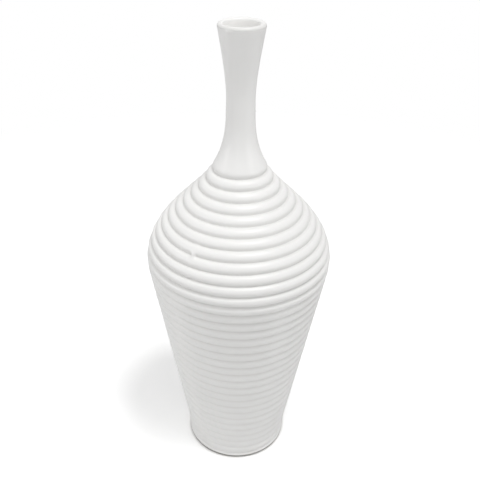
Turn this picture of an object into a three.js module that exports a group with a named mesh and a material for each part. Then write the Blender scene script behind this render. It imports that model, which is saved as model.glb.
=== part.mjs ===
// A bottle vase: one slip-cast ceramic shell, and four felt pads stuck under its foot.
// The neck is smooth and flares to a rounded lip. From the skirt of the neck down to the foot the
// outside is ringed with full, gently rounded bands of one pitch, which meet in grooves. The grooves get
// shallower towards the foot. The inside is smooth.
// Lengths are in millimetres and angles in degrees. +Z is up, and the origin is on the vase's axis,
// in the plane of the table that the pads stand on.
import * as THREE from "three";

// Felt pads under the foot.
const PAD_COUNT = 4;
const PAD_DIAMETER = 9;
const PAD_THICKNESS = 1.5;

// Outline of the ceramic, from the foot to the lip. Each rise is measured from the station before it.
const FOOT_RADIUS = 46.8;
const FOOT_BEND_RISE = 24;
const TAPER_RISE = 170.3;
const TAPER_TOP_RADIUS = 76.9;
const SHOULDER_RISE = 54.7;
const SHOULDER_RADIUS = 57.3;
const SHOULDER_LEAN = 42.3;
const SKIRT_RISE = 83.7;
const WAIST_RADIUS = 11.3;
const FLARE_RISE = 63.2;
const MOUTH_RADIUS = 17.7;
const MOUTH_LEAN = -10.3;

// How far each curve holds the direction of its two ends, as shares of the rise that it climbs.
const SHOULDER_HOLDS = [0.182, 0.678];
const SKIRT_HOLDS = [0.417, 0.542];
const FLARE_HOLDS = [0.16, 0.748];

// Bands. The topmost groove lies on the skirt, this far up the surface from the shoulder's station. The
// depth holds from the top of the taper upwards. A fuller band is flatter across and steeper at its grooves.
const GROOVE_PITCH = 9.24;
const GROOVE_DEPTH = 2.3;
const GROOVE_DEPTH_AT_FOOT = 1.2;
const BAND_FULLNESS = 3.5;
const TOP_GROOVE_ABOVE_SHOULDER = 50.9;
const PLAIN_FOOT_BAND = 3;

// The cast wall, its floor, and the foot ring round the recessed underside.
const WALL = 4.5;
const FLOOR_THICKNESS = 6;
const FLOOR_FILLET = 9;
const FOOT_EDGE_RADIUS = 1.4;
const FOOT_RING_WIDTH = 12;
const FOOT_RECESS = 2.4;

// Facets. The stations are shares of the way across a band, from the groove below it.
const FACETS_ROUND = 32;
const BAND_STATIONS = [0, 0.15, 0.5, 0.85];
const NECK_STEPS = 15;
const INNER_STEPS = 22;
const LIP_STEPS = 6;
const EDGE_STEPS = 3;
const PAD_FACETS = 24;

const CERAMIC = new THREE.MeshStandardMaterial({ color: 0xf1f0ee, roughness: 0.45, metalness: 0 });
const FELT = new THREE.MeshStandardMaterial({ color: 0xdedcd6, roughness: 0.95, metalness: 0 });

// The direction up the outline at a lean from upright, which is positive where the vase narrows upwards.
function leaning(lean) {
  const angle = THREE.MathUtils.degToRad(lean);
  return new THREE.Vector2(-Math.sin(angle), Math.cos(angle));
}

// The outline in the half plane of radius and height, from the foot up to the mouth. It stands upright at
// the foot, bends out into the straight taper, turns over the shoulder, sweeps up to the narrow waist of the
// neck and flares to the mouth.
function outlinePath() {
  const foot = new THREE.Vector2(FOOT_RADIUS, PAD_THICKNESS);
  const bend = new THREE.Vector2(FOOT_RADIUS, foot.y + FOOT_BEND_RISE / 2);
  const taperTop = new THREE.Vector2(TAPER_TOP_RADIUS, foot.y + FOOT_BEND_RISE + TAPER_RISE);
  const shoulder = new THREE.Vector2(SHOULDER_RADIUS, taperTop.y + SHOULDER_RISE);
  const waist = new THREE.Vector2(WAIST_RADIUS, shoulder.y + SKIRT_RISE);
  const mouth = new THREE.Vector2(MOUTH_RADIUS, waist.y + FLARE_RISE);
  const upTaper = taperTop.clone().sub(bend).normalize();
  const taperFoot = bend.clone().addScaledVector(upTaper, FOOT_BEND_RISE / 2 / upTaper.y);

  const sweep = (from, fromWay, to, toWay, [fromHold, toHold]) => {
    const rise = to.y - from.y;
    const first = from.clone().addScaledVector(fromWay, fromHold * rise);
    const second = to.clone().addScaledVector(toWay, -toHold * rise);
    return new THREE.CubicBezierCurve(from, first, second, to);
  };
  const path = new THREE.CurvePath();
  path.add(new THREE.QuadraticBezierCurve(foot, bend, taperFoot));
  path.add(new THREE.LineCurve(taperFoot, taperTop));
  path.add(sweep(taperTop, upTaper, shoulder, leaning(SHOULDER_LEAN), SHOULDER_HOLDS));
  path.add(sweep(shoulder, leaning(SHOULDER_LEAN), waist, leaning(0), SKIRT_HOLDS));
  path.add(sweep(waist, leaning(0), mouth, leaning(MOUTH_LEAN), FLARE_HOLDS));
  return path;
}

const outline = outlinePath();
const outlineLength = outline.getLength();
const [, taperTopDistance, shoulderDistance] = outline.getCurveLengths();

// The outline's direction at a distance along it from the foot.
function directionAlong(distance) {
  return outline.getTangentAt(THREE.MathUtils.clamp(distance / outlineLength, 0, 1));
}

// The point at a distance along the outline from the foot, moved outwards by an offset.
function pointAlong(distance, offset = 0) {
  const direction = directionAlong(distance);
  const outward = new THREE.Vector2(direction.y, -direction.x);
  const point = outline.getPointAt(THREE.MathUtils.clamp(distance / outlineLength, 0, 1));
  return point.addScaledVector(outward, offset);
}

// The grooves' distances along the outline, the lowest first. They run down to the plain band at the foot.
function grooveDistances() {
  const top = shoulderDistance + TOP_GROOVE_ABOVE_SHOULDER;
  const below = Math.floor((top - PLAIN_FOOT_BAND) / GROOVE_PITCH);
  return Array.from({ length: below + 1 }, (_, i) => top - (below - i) * GROOVE_PITCH);
}

// The point at a share of the way across the band above a groove, sunk as deep as its surface lies there.
function bandPoint(groove, across) {
  const distance = groove + GROOVE_PITCH * across;
  const upTaper = Math.min(distance / taperTopDistance, 1);
  const depth = THREE.MathUtils.lerp(GROOVE_DEPTH_AT_FOOT, GROOVE_DEPTH, upTaper);
  return pointAlong(distance, -depth * Math.abs(2 * across - 1) ** BAND_FULLNESS);
}

// The outside, from the foot's rounded edge up through the bands and the smooth neck to the mouth.
function outerWall() {
  const points = [];
  for (let i = 0; i <= EDGE_STEPS; i++) {
    const turn = (i / EDGE_STEPS) * (Math.PI / 2);
    const edge = pointAlong(FOOT_EDGE_RADIUS * (1 - Math.cos(turn)));
    points.push(new THREE.Vector2(edge.x - FOOT_EDGE_RADIUS * (1 - Math.sin(turn)), edge.y));
  }
  const grooves = grooveDistances();
  const top = grooves.at(-1);
  for (const groove of grooves.slice(0, -1)) {
    points.push(...BAND_STATIONS.map((across) => bandPoint(groove, across)));
  }
  // Above the topmost groove the surface swells as the lower half of a band does, and then runs on smooth.
  const lowerHalf = BAND_STATIONS.filter((across) => across < 0.5);
  points.push(...lowerHalf.map((across) => bandPoint(top, across)));
  const smoothFrom = top + GROOVE_PITCH / 2;
  for (let i = 0; i <= NECK_STEPS; i++) {
    points.push(pointAlong(smoothFrom + (outlineLength - smoothFrom) * (i / NECK_STEPS)));
  }
  return points;
}

// The half-round lip, from the outside over the top to the inside.
function lip() {
  const up = directionAlong(outlineLength);
  const outward = new THREE.Vector2(up.y, -up.x);
  const points = [];
  for (let i = 1; i < LIP_STEPS; i++) {
    const turn = (i / LIP_STEPS) * Math.PI;
    const centre = pointAlong(outlineLength, -WALL / 2);
    centre.addScaledVector(outward, (WALL / 2) * Math.cos(turn));
    points.push(centre.addScaledVector(up, (WALL / 2) * Math.sin(turn)));
  }
  return points;
}

// The inside, one wall's thickness in from the outline, from the mouth down to the middle of the floor.
function innerWall() {
  const floor = PAD_THICKNESS + FLOOR_THICKNESS;
  const lowest = FLOOR_THICKNESS + FLOOR_FILLET;
  const points = [];
  for (let i = 0; i <= INNER_STEPS; i++) {
    points.push(pointAlong(outlineLength + (lowest - outlineLength) * (i / INNER_STEPS), -WALL));
  }
  const wallFoot = points.at(-1);
  const up = directionAlong(lowest);
  const corner = wallFoot.clone().addScaledVector(up, (floor - wallFoot.y) / up.y);
  const floorEdge = new THREE.Vector2(corner.x - FLOOR_FILLET, floor);
  const fillet = new THREE.QuadraticBezierCurve(wallFoot, corner, floorEdge);
  for (let i = 1; i <= EDGE_STEPS; i++) {
    points.push(fillet.getPoint(i / EDGE_STEPS));
  }
  points.push(new THREE.Vector2(0, floor));
  return points;
}

// The underside, from the middle of its shallow recess out to the inner edge of the flat foot ring.
function underside() {
  const ringInner = FOOT_RADIUS - FOOT_RING_WIDTH;
  return [
    new THREE.Vector2(0, PAD_THICKNESS + FOOT_RECESS),
    new THREE.Vector2(ringInner - FOOT_RECESS, PAD_THICKNESS + FOOT_RECESS),
    new THREE.Vector2(ringInner, PAD_THICKNESS),
  ];
}

function ceramicShell() {
  const profile = [...underside(), ...outerWall(), ...lip(), ...innerWall()];
  const geometry = new THREE.LatheGeometry(profile, FACETS_ROUND).rotateX(Math.PI / 2);
  const shell = new THREE.Mesh(geometry, CERAMIC);
  shell.name = "ceramic_shell";
  return shell;
}

// A felt disc, stuck flat to the middle of the foot ring's width.
function feltPad(index) {
  const ringOuter = FOOT_RADIUS - FOOT_EDGE_RADIUS;
  const ringInner = FOOT_RADIUS - FOOT_RING_WIDTH;
  const ringMiddle = (ringOuter + ringInner) / 2;
  const angle = ((index + 0.5) / PAD_COUNT) * 2 * Math.PI;
  const radius = PAD_DIAMETER / 2;
  const geometry = new THREE.CylinderGeometry(radius, radius, PAD_THICKNESS, PAD_FACETS)
    .rotateX(Math.PI / 2)
    .translate(0, 0, PAD_THICKNESS / 2);
  const pad = new THREE.Mesh(geometry, FELT);
  pad.name = `felt_pad_${index + 1}`;
  pad.position.set(ringMiddle * Math.cos(angle), ringMiddle * Math.sin(angle), 0);
  return pad;
}

const vase = new THREE.Group();
vase.add(ceramicShell());
for (let i = 0; i < PAD_COUNT; i++) {
  vase.add(feltPad(i));
}

export default vase;
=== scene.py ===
"""A white ribbed bottle vase in satin glaze, on felt pads on a plain white floor.
Lengths are in metres and angles in degrees, +Z is up, and the viewer stands on the -Y side. Azimuths are
measured from the viewer's side, positive to the viewer's right."""

import math

import bpy
import numpy as np
from mathutils import Matrix, Vector


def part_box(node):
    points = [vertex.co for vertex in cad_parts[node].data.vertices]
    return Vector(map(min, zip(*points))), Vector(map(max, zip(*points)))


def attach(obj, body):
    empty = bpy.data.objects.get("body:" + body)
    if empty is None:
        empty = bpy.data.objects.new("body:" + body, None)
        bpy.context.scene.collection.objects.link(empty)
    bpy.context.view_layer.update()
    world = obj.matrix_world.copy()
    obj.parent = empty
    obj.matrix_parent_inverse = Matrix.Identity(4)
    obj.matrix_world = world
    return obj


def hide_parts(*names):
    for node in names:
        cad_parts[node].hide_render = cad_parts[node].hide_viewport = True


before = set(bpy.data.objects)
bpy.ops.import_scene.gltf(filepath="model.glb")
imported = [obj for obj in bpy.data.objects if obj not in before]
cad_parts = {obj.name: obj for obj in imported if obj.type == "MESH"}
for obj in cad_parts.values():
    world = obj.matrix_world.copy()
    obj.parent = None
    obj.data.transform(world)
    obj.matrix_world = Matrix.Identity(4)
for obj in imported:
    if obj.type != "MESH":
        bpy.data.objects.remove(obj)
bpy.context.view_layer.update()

# Camera, with its focal length in pixels of the square picture.
PICTURE_SIDE = 480
FOCAL_LENGTH = 637.0
SENSOR_WIDTH = 36.0
CAMERA_BACK = 0.4614
CAMERA_HEIGHT = 0.5063
CAMERA_PITCH = 31.856
CAMERA_YAW = 0.111
CAMERA_ROLL = -0.842

# Outline of the ceramic from the foot to the lip. Each rise is measured from the station before it.
PAD_THICKNESS = 0.0015
FOOT_RADIUS = 0.0468
FOOT_BEND_RISE = 0.024
TAPER_RISE = 0.1703
TAPER_TOP_RADIUS = 0.0769
SHOULDER_RISE = 0.0547
SHOULDER_RADIUS = 0.0573
SHOULDER_LEAN = 42.3
SKIRT_RISE = 0.0837
WAIST_RADIUS = 0.0113
FLARE_RISE = 0.0632
MOUTH_RADIUS = 0.0177
MOUTH_LEAN = -10.3

# How far each curve holds the direction of its two ends, as shares of the rise that it climbs.
SHOULDER_HOLDS = (0.182, 0.678)
SKIRT_HOLDS = (0.417, 0.542)
FLARE_HOLDS = (0.16, 0.748)

# Bands, which meet in rounded grooves. The topmost groove lies this far up the surface from the shoulder. A
# fuller band is flatter across, and the rounding is the share of half a pitch over which a groove is eased.
GROOVE_PITCH = 0.00924
GROOVE_DEPTH = 0.0024
GROOVE_DEPTH_AT_FOOT = 0.0012
GROOVE_ROUNDING = 0.25
BAND_FULLNESS = 3.2
TOP_GROOVE_ABOVE_SHOULDER = 0.0509
PLAIN_FOOT_BAND = 0.003

# Wall, floor and the foot ring round the recessed underside.
WALL = 0.0045
FLOOR_THICKNESS = 0.006
FLOOR_FILLET = 0.009
FOOT_EDGE_RADIUS = 0.0014
FOOT_RING_WIDTH = 0.012
FOOT_RING_EASE = 0.0004
FOOT_RECESS = 0.0024

# Mould seams, one to the left of the front and one opposite. Each is a fine ridge, and fills the grooves a
# little where it crosses them.
SEAM_AZIMUTHS = (-32.5, 147.5)
SEAM_HALF_WIDTH = 0.0022
SEAM_FILL = 0.12
SEAM_RIDGE = 0.00008

# A blot of glaze where the front seam crosses one groove. The groove is given as pitches below the topmost,
# and the blot's half height in pitches too.
BLOT_GROOVE = 7
BLOT_HALF_HEIGHT = 0.7
BLOT_FILL = 0.85

# A nick of glaze where the front seam meets the lip.
LIP_NICK = 0.0004
LIP_NICK_REACH = 0.002

# Fineness of the ceramic's mesh. Azimuth reach and turns are in degrees, and band stations are shares of the
# way across a band.
EVEN_AZIMUTHS = 192
SEAM_AZIMUTH_STEPS = 13
SEAM_AZIMUTH_REACH = 4.5
RECESS_STATIONS = 9
RING_STATIONS = 4
RING_STATIONS_INSET = 0.002
FOOT_EDGE_TURNS = (15, 30, 45, 60, 75)
FOOT_BAND_STATIONS = 6
BAND_STATIONS = (0.0, 0.05, 0.11, 0.18, 0.3, 0.5, 0.7, 0.82, 0.89, 0.95)
NECK_STATIONS = 40
LIP_STATIONS = 13
INNER_STATIONS = 44
FILLET_STEPS = 6
FLOOR_STATIONS = 6

# Glaze: its two clouded tones; where it pools in the grooves, a little deeper in tone as painted shade; a
# painted shade over the lip that tones down its lit top; and the inside painted lighter, as painted light.
# The lip's painted shade is deepest at this turn over the lip, of which 90 degrees is the top.
GLAZE_TONES = ((0.872, 0.868, 0.856, 1), (0.856, 0.852, 0.84, 1))
POOLED_AND_SHADED_TONE = (0.775, 0.77, 0.755, 1)
LIP_SHADE_TONE = (0.76, 0.755, 0.74, 1)
PAINTED_INSIDE_LIGHT_TONE = (0.93, 0.922, 0.908, 1)
GLAZE_ROUGHNESS = (0.33, 0.4)
LIP_SHADE_TURN = 40

# Bare stoneware of the foot ring.
CLAY_TONES = ((0.58, 0.53, 0.45, 1), (0.69, 0.64, 0.56, 1))
CLAY_ROUGHNESS = 0.85

# Felt pads: how a pad's cut edge bulges between its leans and frays, and the adhesive film on top.
PAD_COUNT = 4
PAD_COLUMNS = 96
EDGE_BULGE = 0.00012
EDGE_LEANS = (-60, -30, 0, 30, 60)
FRAY = 0.00006
FRAY_LIMIT = 2
FILM_THICKNESS = 0.00015
FILM_INSET = 0.0002
FELT_TONES = ((0.62, 0.61, 0.575, 1), (0.78, 0.77, 0.74, 1))
FELT_ROUGHNESS = (0.88, 1.0)
FELT_STRETCH = (1.0, 1.0, 2.5)
FILM_TONES = ((0.73, 0.7, 0.6, 1), (0.78, 0.75, 0.66, 1))
FILM_ROUGHNESS = (0.3, 0.42)

# Studio lamps, which all stand at one distance from the point that they aim at.
LAMP_DISTANCE = 1.5
LAMP_AIM = Vector((0, 0, 0.2))
LAMPS = {
    "key": dict(azimuth=50, elevation=74, size=0.42, watts=8.6),
    "left": dict(azimuth=-77, elevation=11, size=0.3, watts=2.5),
    "right": dict(azimuth=53, elevation=13, size=0.3, watts=2.3),
}

# Soft light from broad parts of the studio: azimuth, elevation and strength at the middle of each.
SKY_LIGHTS = (
    (-60, 40, 0.64),
    (60, 40, 0.52),
    (0, 45, 0.4),
    (0, 90, 0.43),
    (-90, 10, 0.29),
    (-130, 15, 0.36),
    (130, 15, 0.13),
    (180, 40, 0.17),
)
SKY_NARROWNESS = 4.0

# The floor's reflectance, and how the camera sees it: in its own light times a gain near the vase, which
# gives way to plain white between two distances from the origin. Close to the vase its tone sinks to the
# painted contact shadow's tone, fully where it is less open than the first share and not at all beyond the
# second.
FLOOR_HALF_SIDE = 8.0
FLOOR_BOUNCE = 0.8
FLOOR_GAIN = 1.3
FLOOR_WHITE_FROM = 0.5
FLOOR_WHITE_BEYOND = 0.9
CONTACT_SHADOW_TONE = 0.2
CONTACT_REACH = 0.006
CONTACT_OPENNESS = (0.15, 0.75)
CONTACT_SAMPLES = 8


def leaning(lean):
    """The direction up the outline at a lean from upright, positive where the vase narrows upwards."""
    return np.array([-math.sin(math.radians(lean)), math.cos(math.radians(lean))])


def bezier(points, steps):
    """The points of a Bezier curve at even steps of its parameter."""
    t = np.linspace(0, 1, steps + 1)[:, None]
    degree = len(points) - 1
    return sum(math.comb(degree, k) * (1 - t) ** (degree - k) * t ** k * p for k, p in enumerate(points))


def sweep(start, start_way, end, end_way, holds):
    """The control points of a curve that holds the directions of its two ends for shares of its rise."""
    rise = end[1] - start[1]
    return [start, start + start_way * holds[0] * rise, end - end_way * holds[1] * rise, end]


class Outline:
    """The vase's outline as radius and height, measured along itself from the foot to the mouth."""

    STEPS = 400

    def __init__(self):
        foot = np.array([FOOT_RADIUS, PAD_THICKNESS])
        bend = foot + [0, FOOT_BEND_RISE / 2]
        taper_top = np.array([TAPER_TOP_RADIUS, foot[1] + FOOT_BEND_RISE + TAPER_RISE])
        shoulder = np.array([SHOULDER_RADIUS, taper_top[1] + SHOULDER_RISE])
        waist = np.array([WAIST_RADIUS, shoulder[1] + SKIRT_RISE])
        mouth = np.array([MOUTH_RADIUS, waist[1] + FLARE_RISE])
        up_taper = (taper_top - bend) / np.linalg.norm(taper_top - bend)
        taper_foot = bend + up_taper * (FOOT_BEND_RISE / 2 / up_taper[1])
        on_shoulder, upright, at_mouth = leaning(SHOULDER_LEAN), leaning(0), leaning(MOUTH_LEAN)
        controls = [
            [foot, bend, taper_foot],
            [taper_foot, taper_top],
            sweep(taper_top, up_taper, shoulder, on_shoulder, SHOULDER_HOLDS),
            sweep(shoulder, on_shoulder, waist, upright, SKIRT_HOLDS),
            sweep(waist, upright, mouth, at_mouth, FLARE_HOLDS),
        ]
        runs = [bezier(control, self.STEPS) for control in controls]
        self.points = np.concatenate([runs[0]] + [run[1:] for run in runs[1:]])
        strides = np.linalg.norm(np.diff(self.points, axis=0), axis=1)
        self.distances = np.concatenate([[0], np.cumsum(strides)])
        self.length = self.distances[-1]
        self.taper_top = self.distances[2 * self.STEPS]
        self.shoulder = self.distances[3 * self.STEPS]
        self.ways = np.gradient(self.points, self.distances, axis=0)

    def _read(self, values, at):
        return np.stack([np.interp(at, self.distances, values[:, k]) for k in (0, 1)], -1)

    def way(self, at):
        """The direction up the outline at distances along it."""
        way = self._read(self.ways, at)
        return way / np.linalg.norm(way, axis=-1, keepdims=True)

    def outward(self, at):
        """The direction out of the surface at distances along the outline."""
        way = self.way(at)
        return np.stack([way[..., 1], -way[..., 0]], -1)

    def point(self, at, offset=0.0):
        """The point at distances along the outline, moved outwards by an offset."""
        return self._read(self.points, at) + self.outward(at) * offset


outline = Outline()
TOP_GROOVE = outline.shoulder + TOP_GROOVE_ABOVE_SHOULDER
GROOVES_BELOW = int((TOP_GROOVE - PLAIN_FOOT_BAND) // GROOVE_PITCH)
LOWEST_GROOVE = TOP_GROOVE - GROOVES_BELOW * GROOVE_PITCH
SMOOTH_NECK_FROM = TOP_GROOVE + GROOVE_PITCH / 2


def band_depth(at):
    """How deep the bands' surface lies below the outline at distances along it."""
    across = np.abs(((at - TOP_GROOVE) / GROOVE_PITCH) % 1 * 2 - 1)
    w = GROOVE_ROUNDING
    eased = np.where(across > 1 - w, 1 - w / 2 - (1 - across) ** 2 / (2 * w), across) / (1 - w / 2)
    stations = (FOOT_EDGE_RADIUS, LOWEST_GROOVE, outline.taper_top)
    depth = np.interp(at, stations, (0, GROOVE_DEPTH_AT_FOOT, GROOVE_DEPTH))
    return np.where(at > SMOOTH_NECK_FROM, 0.0, depth * eased ** BAND_FULLNESS)


def outer_stations():
    """Distances along the outline at which the outside has its rings, above the foot's rounded edge."""
    foot = np.linspace(FOOT_EDGE_RADIUS, LOWEST_GROOVE, FOOT_BAND_STATIONS)[:-1]
    bands = [LOWEST_GROOVE + (k + s) * GROOVE_PITCH for k in range(GROOVES_BELOW) for s in BAND_STATIONS]
    skirt = [TOP_GROOVE + s * GROOVE_PITCH for s in BAND_STATIONS if s < 0.5]
    neck = np.linspace(SMOOTH_NECK_FROM, outline.length, NECK_STATIONS)
    return np.concatenate([foot, bands, skirt, neck])


def from_seam(azimuth, seam):
    """The angle from a seam to azimuths, between -180 and 180."""
    return (azimuth - seam + 180) % 360 - 180


def azimuths():
    """Azimuths of the mesh's columns, crowded at the seams."""
    even = np.linspace(-180, 180, EVEN_AZIMUTHS, endpoint=False)
    steps = np.linspace(-SEAM_AZIMUTH_REACH, SEAM_AZIMUTH_REACH, SEAM_AZIMUTH_STEPS)
    away = np.min([np.abs(from_seam(even, seam)) for seam in SEAM_AZIMUTHS], axis=0)
    crowded = [seam + steps for seam in SEAM_AZIMUTHS]
    return np.sort(np.concatenate([even[away > SEAM_AZIMUTH_REACH]] + crowded))


def seam_shares(azimuth, radius):
    """How far each point lies in a seam, from 0 to 1, for the front seam and for both seams."""
    arcs = [np.radians(from_seam(azimuth, seam)) * radius for seam in SEAM_AZIMUTHS]
    shares = [np.exp(-((arc / SEAM_HALF_WIDTH) ** 2)) for arc in arcs]
    return shares[0], np.maximum(*shares)


def outer_wall(at, depth, azimuth):
    """Radius and height of the outside, with a ring for each distance and a column for each azimuth."""
    base, outward = outline.point(at), outline.outward(at)
    front_seam, seam = seam_shares(azimuth[None, :], base[:, :1])
    from_blot = (at - TOP_GROOVE) / GROOVE_PITCH + BLOT_GROOVE
    blot = np.exp(-((from_blot / BLOT_HALF_HEIGHT) ** 2))[:, None]
    fill = np.clip(SEAM_FILL * seam + BLOT_FILL * blot * front_seam, 0, 1)
    near_lip = np.exp(-(((outline.length - at) / LIP_NICK_REACH) ** 2))[:, None]
    offset = SEAM_RIDGE * seam + LIP_NICK * near_lip * front_seam - depth[:, None] * (1 - fill)
    return base[:, :1] + outward[:, :1] * offset, base[:, 1:] + outward[:, 1:] * offset


def underside():
    """Radius, height and bareness of the underside, from its middle out to the foot's outer edge."""
    ring_inner = FOOT_RADIUS - FOOT_RING_WIDTH
    ring_outer = FOOT_RADIUS - FOOT_EDGE_RADIUS
    recess = PAD_THICKNESS + FOOT_RECESS
    rows = [(r, recess, 0) for r in np.linspace(0, ring_inner - FOOT_RECESS, RECESS_STATIONS)]
    rows.append((ring_inner - FOOT_RING_EASE, PAD_THICKNESS + FOOT_RING_EASE, 0.5))
    rows.append((ring_inner + FOOT_RING_EASE, PAD_THICKNESS, 1))
    for r in np.linspace(ring_inner + RING_STATIONS_INSET, ring_outer, RING_STATIONS):
        rows.append((r, PAD_THICKNESS, 1))
    for turn in np.radians(FOOT_EDGE_TURNS):
        edge = outline.point(FOOT_EDGE_RADIUS * (1 - math.cos(turn)))
        rows.append((edge[0] - FOOT_EDGE_RADIUS * (1 - math.sin(turn)), edge[1], 1 - turn / (math.pi / 2)))
    return np.array(rows)


def lip_turns():
    """Angles in radians of the half-round lip's rings, from the outside over the top to the inside."""
    return np.linspace(0, math.pi, LIP_STATIONS + 2)[1:-1]


def half_round_lip():
    """Radius and height of the lip, from the outside over the top to the inside."""
    up, outward = outline.way(outline.length), outline.outward(outline.length)
    centre = outline.point(outline.length, -WALL / 2)
    return np.array([centre + (outward * math.cos(t) + up * math.sin(t)) * WALL / 2 for t in lip_turns()])


def inner_wall():
    """Radius and height of the smooth inside, from the mouth down to the middle of the floor."""
    floor = PAD_THICKNESS + FLOOR_THICKNESS
    lowest = FLOOR_THICKNESS + FLOOR_FILLET
    wall = [outline.point(at, -WALL) for at in np.linspace(outline.length, lowest, INNER_STATIONS)]
    up = outline.way(lowest)
    corner = wall[-1] + up * (floor - wall[-1][1]) / up[1]
    fillet = bezier([wall[-1], corner, np.array([corner[0] - FLOOR_FILLET, floor])], FILLET_STEPS)[1:]
    flat = [(r, floor) for r in np.linspace(fillet[-1][0], 0, FLOOR_STATIONS)[1:]]
    return np.array([*wall, *fillet, *flat])


def grid_mesh(name, x, y, z, first, last):
    """A closed smooth mesh from rings of points, with a pole at each end. Rings run from first to last."""
    rings, columns = x.shape
    vertices = np.concatenate([np.stack([x, y, z], -1).reshape(-1, 3), [first, last]])
    here = np.arange(columns)
    after = (here + 1) % columns
    faces = []
    for i in range(rings - 1):
        low, high = i * columns, (i + 1) * columns
        faces += np.stack([low + here, low + after, high + after, high + here], -1).tolist()
    top = (rings - 1) * columns
    faces += np.stack([np.full(columns, rings * columns), after, here], -1).tolist()
    faces += np.stack([np.full(columns, rings * columns + 1), top + here, top + after], -1).tolist()
    mesh = bpy.data.meshes.new(name)
    mesh.from_pydata(vertices.tolist(), [], faces)
    mesh.polygons.foreach_set("use_smooth", [True] * len(mesh.polygons))
    piece = bpy.data.objects.new(name, mesh)
    bpy.context.scene.collection.objects.link(piece)
    return piece


def mark(piece, name, rings, columns):
    """Stores one value for each ring of a grid mesh as an attribute that its material reads. Each pole takes
    the value of the ring beside it."""
    values = np.append(np.repeat(rings, columns), (rings[0], rings[-1]))
    layer = piece.data.attributes.new(name, "FLOAT", "POINT")
    layer.data.foreach_set("value", values.astype(np.float32))


def make_shell():
    """The ceramic in one mesh, marked with where it is bare, where its glaze pools in the grooves under
    painted shade, where the lip takes painted shade, and where it is on the inside, which takes painted
    light.
    """
    at = outer_stations()
    depth = band_depth(at)
    azimuth = azimuths()
    outer_r, outer_z = outer_wall(at, depth, azimuth)
    foot, lip, inner = underside(), half_round_lip(), inner_wall()
    columns = len(azimuth)
    spread = np.ones((1, columns))
    r = np.concatenate([foot[1:, :1] * spread, outer_r, lip[:, :1] * spread, inner[:-1, :1] * spread])
    z = np.concatenate([foot[1:, 1:2] * spread, outer_z, lip[:, 1:] * spread, inner[:-1, 1:] * spread])
    turn = np.radians(azimuth)
    poles = (0, 0, foot[0, 1]), (0, 0, inner[-1, 1])
    shell = grid_mesh("vase_shell", r * np.sin(turn), -r * np.cos(turn), z, *poles)

    # Where the glaze pools in the grooves, which also take a painted shade there.
    pooled_and_shaded = (depth / GROOVE_DEPTH) ** 2
    # Painted shade over the lip's top, where it is lit most.
    lip_shade = np.cos(lip_turns() - math.radians(LIP_SHADE_TURN)).clip(0)
    below, outside, on_lip, inside = (np.zeros(len(part)) for part in (foot[1:], at, lip, inner[:-1]))
    marks = {
        "bare": (foot[1:, 2], outside, on_lip, inside),
        "pooled_and_shaded": (below, pooled_and_shaded, on_lip, inside),
        "lip_shade": (below, outside, lip_shade, inside),
        "inside": (below, outside, on_lip, inside + 1),
    }
    for name, rings in marks.items():
        mark(shell, name, np.concatenate(rings), columns)
    shell.data.materials.append(glaze_material())
    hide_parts("ceramic_shell")
    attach(shell, "root")


class Nodes:
    """Short calls for building a node tree. A value is a number or colour, or another node's output."""

    def __init__(self, tree):
        self.tree = tree

    def add(self, kind, inputs=(), **settings):
        """Adds a node with its settings, and feeds the inputs given by name or number."""
        node = self.tree.nodes.new(kind)
        for name, value in settings.items():
            setattr(node, name, value)
        for socket, value in dict(inputs).items():
            self.feed(node.inputs[socket], value)
        return node

    def feed(self, socket, value):
        if isinstance(value, bpy.types.NodeSocket):
            self.tree.links.new(value, socket)
        else:
            socket.default_value = value

    def place(self):
        return self.add("ShaderNodeTexCoord").outputs["Object"]

    def noise(self, scale, detail=2.0, place=None):
        inputs = {"Vector": place or self.place(), "Scale": scale, "Detail": detail}
        return self.add("ShaderNodeTexNoise", inputs).outputs["Fac"]

    def read(self, attribute):
        return self.add("ShaderNodeAttribute", attribute_name=attribute).outputs["Fac"]

    def between(self, value, low, high, out_low=0.0, out_high=1.0):
        """Maps low..high of a value to out_low..out_high, and holds it there beyond both ends."""
        inputs = {"Value": value, "From Min": low, "From Max": high, "To Min": out_low, "To Max": out_high}
        return self.add("ShaderNodeMapRange", inputs).outputs["Result"]

    def mix(self, share, low, high):
        """A colour between two colours."""
        node = self.add("ShaderNodeMix", data_type="RGBA")
        for socket, value in zip((node.inputs[0], node.inputs[6], node.inputs[7]), (share, low, high)):
            self.feed(socket, value)
        return node.outputs[2]

    def blend(self, share, low, high):
        """A number between two numbers."""
        return self.add("ShaderNodeMix", {0: share, 2: low, 3: high}, data_type="FLOAT").outputs[0]

    def math(self, operation, first, second):
        return self.add("ShaderNodeMath", {0: first, 1: second}, operation=operation).outputs[0]

    def vector_math(self, operation, inputs, output=0):
        return self.add("ShaderNodeVectorMath", inputs, operation=operation).outputs[output]

    def diffuse(self, colour):
        return self.add("ShaderNodeBsdfDiffuse", {"Color": colour}).outputs[0]

    def mix_shader(self, share, low, high):
        return self.add("ShaderNodeMixShader", {0: share, 1: low, 2: high}).outputs[0]

    def bump(self, height, strength, distance, normal=None):
        node = self.add("ShaderNodeBump", {"Height": height, "Strength": strength, "Distance": distance})
        if normal:
            self.feed(node.inputs["Normal"], normal)
        return node.outputs["Normal"]


def new_material(name):
    """A material, the calls for its node tree and its shader."""
    material = bpy.data.materials.new(name)
    material.use_nodes = True
    return material, Nodes(material.node_tree), material.node_tree.nodes["Principled BSDF"]


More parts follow.
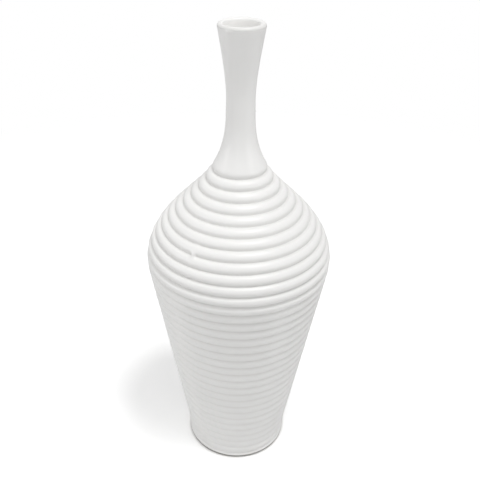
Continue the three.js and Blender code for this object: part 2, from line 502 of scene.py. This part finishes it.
def glaze_material():
    """White satin glaze, a little deeper in tone as painted shade where it pools in the grooves and over the
    lip's edge, painted lighter on the inside as painted light, and bare stoneware on the foot ring."""
    material, nodes, shader = new_material("satin_glaze")
    cloud = nodes.between(nodes.noise(scale=22, detail=3), 0.35, 0.65)
    glaze = nodes.mix(cloud, *GLAZE_TONES)
    # Painted shade in the grooves, where the glaze pools.
    glaze = nodes.mix(nodes.read("pooled_and_shaded"), glaze, POOLED_AND_SHADED_TONE)
    # Painted shade over the lip's lit top.
    glaze = nodes.mix(nodes.read("lip_shade"), glaze, LIP_SHADE_TONE)
    # Painted light: the inside drawn lighter than the outside glaze.
    glaze = nodes.mix(nodes.read("inside"), glaze, PAINTED_INSIDE_LIGHT_TONE)
    speckle = nodes.between(nodes.noise(scale=1400, detail=4), 0.4, 0.62)
    bare = nodes.read("bare")
    nodes.feed(shader.inputs["Base Color"], nodes.mix(bare, glaze, nodes.mix(speckle, *CLAY_TONES)))
    satin = nodes.between(nodes.noise(scale=260, detail=3), 0.3, 0.7, *GLAZE_ROUGHNESS)
    nodes.feed(shader.inputs["Roughness"], nodes.blend(bare, satin, CLAY_ROUGHNESS))
    skin = nodes.bump(nodes.noise(scale=190), strength=0.25, distance=0.0002)
    grain = nodes.bump(nodes.noise(scale=2600), strength=0.12, distance=0.00002, normal=skin)
    nodes.feed(shader.inputs["Normal"], grain)
    return material


def felt_material():
    """Pressed wool felt: short tangled fibres in two near tones."""
    material, nodes, shader = new_material("pressed_felt")
    flattened = nodes.vector_math("MULTIPLY", {0: nodes.place(), 1: FELT_STRETCH})
    fibres = nodes.noise(scale=3200, detail=6, place=flattened)
    nodes.feed(shader.inputs["Base Color"], nodes.mix(nodes.between(fibres, 0.35, 0.65), *FELT_TONES))
    roughness = nodes.between(nodes.noise(scale=900), 0.3, 0.7, *FELT_ROUGHNESS)
    nodes.feed(shader.inputs["Roughness"], roughness)
    nodes.feed(shader.inputs["Normal"], nodes.bump(fibres, strength=0.8, distance=0.00015))
    return material


def film_material():
    """The slim adhesive film between felt and foot ring."""
    material, nodes, shader = new_material("adhesive_film")
    cloud = nodes.between(nodes.noise(scale=700, detail=3), 0.35, 0.65)
    nodes.feed(shader.inputs["Base Color"], nodes.mix(cloud, *FILM_TONES))
    roughness = nodes.between(nodes.noise(scale=1200), 0.3, 0.7, *FILM_ROUGHNESS)
    nodes.feed(shader.inputs["Roughness"], roughness)
    return material


def make_pad(node, seed, felt, film):
    """A felt disc with a bulged, slightly frayed edge and its adhesive film, in the place of one CAD pad."""
    low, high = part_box(node)
    centre, radius = (low + high) / 2, (high.x - low.x) / 2
    felt_top = high.z - FILM_THICKNESS

    # Radius, height and share of the fray, from the underside round the edge to the top of the film.
    rows = [(radius * share, low.z, fray) for share, fray in ((0.25, 0), (0.5, 0), (0.75, 0), (0.93, 0.5))]
    for lean in np.radians(EDGE_LEANS):
        rise = (felt_top - low.z) / 2 * (1 + math.sin(lean))
        rows.append((radius - EDGE_BULGE * (1 - 2 * math.cos(lean)), low.z + rise, 1))
    rows.append((radius - FILM_INSET / 2, felt_top, 0.6))
    rows.append((radius - FILM_INSET, felt_top, 0))
    rows.append((radius - FILM_INSET, high.z, 0))
    rows += [(radius * share, high.z, 0) for share in (0.8, 0.4)]
    r, z, frayed = (column[:, None] for column in np.array(rows).T)

    random = np.random.default_rng(seed)
    turn = np.linspace(0, 2 * math.pi, PAD_COLUMNS, endpoint=False)
    r = r + frayed * FRAY * random.normal(size=(len(rows), PAD_COLUMNS)).clip(-FRAY_LIMIT, FRAY_LIMIT)
    x, y = centre.x + r * np.cos(turn), centre.y + r * np.sin(turn)
    poles = (centre.x, centre.y, low.z), (centre.x, centre.y, high.z)
    pad = grid_mesh(node + "_felt", x, y, np.broadcast_to(z, x.shape), *poles)
    pad.data.materials.append(felt)
    pad.data.materials.append(film)
    film_from = felt_top + FILM_THICKNESS / 4
    for face in pad.data.polygons:
        face.material_index = int(face.center.z > film_from)
    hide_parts(node)
    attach(pad, "root")


def grey(tone):
    """The colour of a tone."""
    return tone, tone, tone, 1


def floor_material():
    """White floor, seen by the camera with the shadow and a painted contact shadow near the vase, white
    further away.
    """
    material, nodes, shader = new_material("white_floor")
    plain = nodes.diffuse(grey(FLOOR_BOUNCE))
    # Painted contact shadow: the floor's colour sinks towards a dark tone where the vase closes it in.
    occlusion = nodes.add("ShaderNodeAmbientOcclusion", {"Distance": CONTACT_REACH}, samples=CONTACT_SAMPLES)
    openness = nodes.between(occlusion.outputs["AO"], *CONTACT_OPENNESS)
    lit = nodes.diffuse(nodes.mix(openness, grey(CONTACT_SHADOW_TONE), grey(FLOOR_GAIN)))
    white = nodes.add("ShaderNodeEmission", {"Strength": 1.0}).outputs[0]
    away = nodes.vector_math("LENGTH", {0: nodes.place()}, output="Value")
    far = nodes.between(away, FLOOR_WHITE_FROM, FLOOR_WHITE_BEYOND)
    camera_ray = nodes.add("ShaderNodeLightPath").outputs["Is Camera Ray"]
    either = nodes.mix_shader(camera_ray, plain, nodes.mix_shader(far, lit, white))
    material.node_tree.nodes.remove(shader)
    nodes.feed(material.node_tree.nodes["Material Output"].inputs["Surface"], either)
    return material


def make_floor():
    side = FLOOR_HALF_SIDE
    mesh = bpy.data.meshes.new("floor")
    corners = [(-side, -side, 0), (side, -side, 0), (side, side, 0), (-side, side, 0)]
    mesh.from_pydata(corners, [], [(0, 1, 2, 3)])
    floor = bpy.data.objects.new("floor", mesh)
    bpy.context.scene.collection.objects.link(floor)
    floor.data.materials.append(floor_material())


def make_camera():
    pitch, yaw, roll = (math.radians(a) for a in (CAMERA_PITCH, CAMERA_YAW, CAMERA_ROLL))
    forward = Vector((math.sin(yaw) * math.cos(pitch), math.cos(yaw) * math.cos(pitch), -math.sin(pitch)))
    level = Vector((math.cos(yaw), -math.sin(yaw), 0))
    below = forward.cross(level)
    right = level * math.cos(roll) + below * math.sin(roll)
    down = below * math.cos(roll) - level * math.sin(roll)
    data = bpy.data.cameras.new("camera")
    data.sensor_width = SENSOR_WIDTH
    data.lens = FOCAL_LENGTH / PICTURE_SIDE * SENSOR_WIDTH
    camera = bpy.data.objects.new("camera", data)
    turn = Matrix((right, -down, -forward)).transposed().to_4x4()
    camera.matrix_world = Matrix.Translation((0, -CAMERA_BACK, CAMERA_HEIGHT)) @ turn
    bpy.context.scene.collection.objects.link(camera)
    bpy.context.scene.camera = camera


def toward(azimuth, elevation):
    """The direction that an azimuth and an elevation point in."""
    azimuth, elevation = math.radians(azimuth), math.radians(elevation)
    level = math.cos(elevation)
    return Vector((math.sin(azimuth) * level, -math.cos(azimuth) * level, math.sin(elevation)))


def make_lamps():
    for name, lamp in LAMPS.items():
        data = bpy.data.lights.new(name, "AREA")
        data.shape = "DISK"
        data.size = lamp["size"]
        data.energy = lamp["watts"]
        way = toward(lamp["azimuth"], lamp["elevation"])
        piece = bpy.data.objects.new(name, data)
        piece.location = LAMP_AIM + way * LAMP_DISTANCE
        piece.rotation_euler = way.to_track_quat("Z", "Y").to_euler()
        piece.visible_camera = False
        bpy.context.scene.collection.objects.link(piece)


def make_sky():
    """White where it is seen or mirrored, and otherwise the sum of the studio's soft lights."""
    world = bpy.data.worlds.new("studio")
    bpy.context.scene.world = world
    world.use_nodes = True
    nodes = Nodes(world.node_tree)
    way = nodes.add("ShaderNodeTexCoord").outputs["Generated"]
    light = 0.0
    for azimuth, elevation, strength in SKY_LIGHTS:
        facing = nodes.vector_math("DOT_PRODUCT", {0: way, 1: toward(azimuth, elevation)}, output="Value")
        facing = nodes.math("POWER", nodes.math("MAXIMUM", facing, 0.0), SKY_NARROWNESS)
        light = nodes.math("ADD", light, nodes.math("MULTIPLY", facing, strength))
    ray = nodes.add("ShaderNodeLightPath").outputs
    seen = nodes.math("MAXIMUM", ray["Is Camera Ray"], ray["Is Glossy Ray"])
    seen = nodes.math("MAXIMUM", seen, ray["Is Transmission Ray"])
    background = world.node_tree.nodes["Background"]
    nodes.feed(background.inputs["Strength"], nodes.blend(seen, light, 1.0))
    background.inputs["Color"].default_value = (1, 1, 1, 1)


make_camera()
make_floor()
make_sky()
make_lamps()
pad_felt, pad_film = felt_material(), film_material()
make_shell()
for number in range(1, PAD_COUNT + 1):
    make_pad(f"felt_pad_{number}", seed=number, felt=pad_felt, film=pad_film)

bpy.context.scene.view_settings.view_transform = "Standard"
